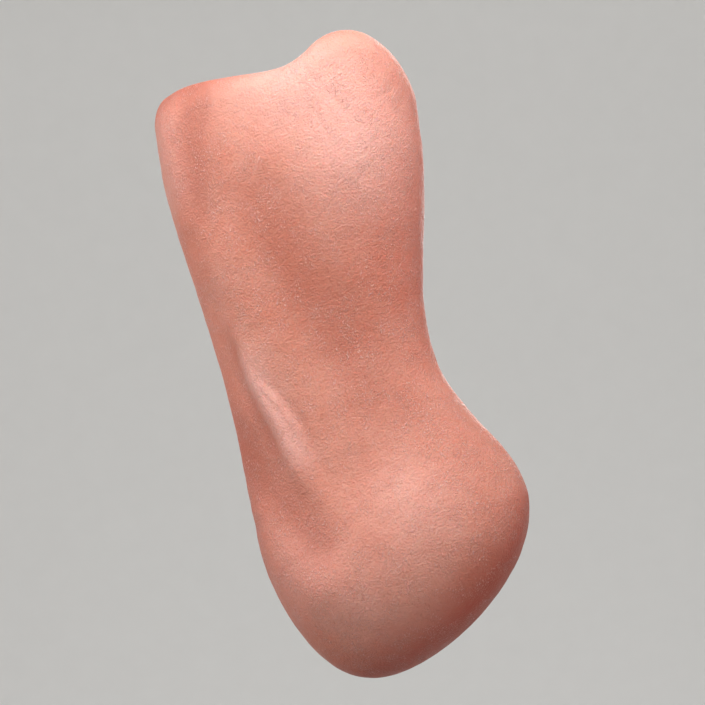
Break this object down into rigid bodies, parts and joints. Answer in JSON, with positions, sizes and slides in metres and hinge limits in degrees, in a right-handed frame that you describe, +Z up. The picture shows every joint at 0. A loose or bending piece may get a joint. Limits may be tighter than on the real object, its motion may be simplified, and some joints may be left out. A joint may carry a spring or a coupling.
{
  "type": "prosthetic hand",
  "caption": "Fingerless passive hand: skin-textured silicone cover over a foam palm, friction wrist that turns and tilts, open forearm cuff with a threaded wrist stud.",
  "frame": {"origin": "centre of the wrist stud, on the mating plane at the foot of its thread", "axes": "+Z up along the forearm, the way the stud points; +X towards the thumb-side bulge; +Y towards the back of the hand"},
  "size_m": [0.0989, 0.0684, 0.1995],
  "materials": {
    "silicone_skin": "satin silicone skin",
    "shell_laminate": "laminated shell, matt",
    "liner_foam": "closed-cell foam lining",
    "anodised_aluminium": "anodised, turned",
    "steel": "zinc-plated steel",
    "black_steel": "blackened steel",
    "black_rubber": "matt rubber",
    "brass": "turned brass",
    "acetal": "white acetal",
    "friction_fibre": "pressed friction fibre",
    "frame_nylon": "moulded nylon",
    "palm_foam": "moulded soft foam"
  },
  "bodies": {
    "cuff": {"forearm_skin": "silicone_skin", "forearm_shell": "shell_laminate", "forearm_liner": "liner_foam", "shell_inserts": "brass", "wrist_housing": "anodised_aluminium", "mount_stud": "steel", "friction_washer": "black_rubber", "housing_screws": "steel", "friction_ring": "acetal", "friction_screws": "black_steel", "circlip": "black_steel"},
    "rotor": {"wrist_fork": "anodised_aluminium", "thrust_washer": "acetal", "rotation_stop_pin": "steel", "pivot_bolt": "black_steel", "friction_discs": "friction_fibre", "disc_springs": "steel", "plain_washer": "steel", "lock_nut": "steel", "wrist_skin": "silicone_skin"},
    "hand": {"hinge_tongue": "anodised_aluminium", "hinge_bush": "brass", "tongue_screws": "steel", "frame_inserts": "brass", "palm_frame": "frame_nylon", "palm_foam": "palm_foam", "mitt_skin": "silicone_skin"}
  },
  "joints": [
    {"name": "wrist_rotation", "type": "hinge", "parent": "cuff", "child": "rotor", "pos_m": [0, 0, -0.0156], "axis": [0, 0, 1], "range_deg": [-45, 45], "deforming": ["wrist_skin"]},
    {"name": "wrist_flexion", "type": "hinge", "parent": "rotor", "child": "hand", "pos_m": [0, 0, -0.035], "axis": [1, 0, 0], "range_deg": [-35, 35], "deforming": ["wrist_skin"]}
  ]
}
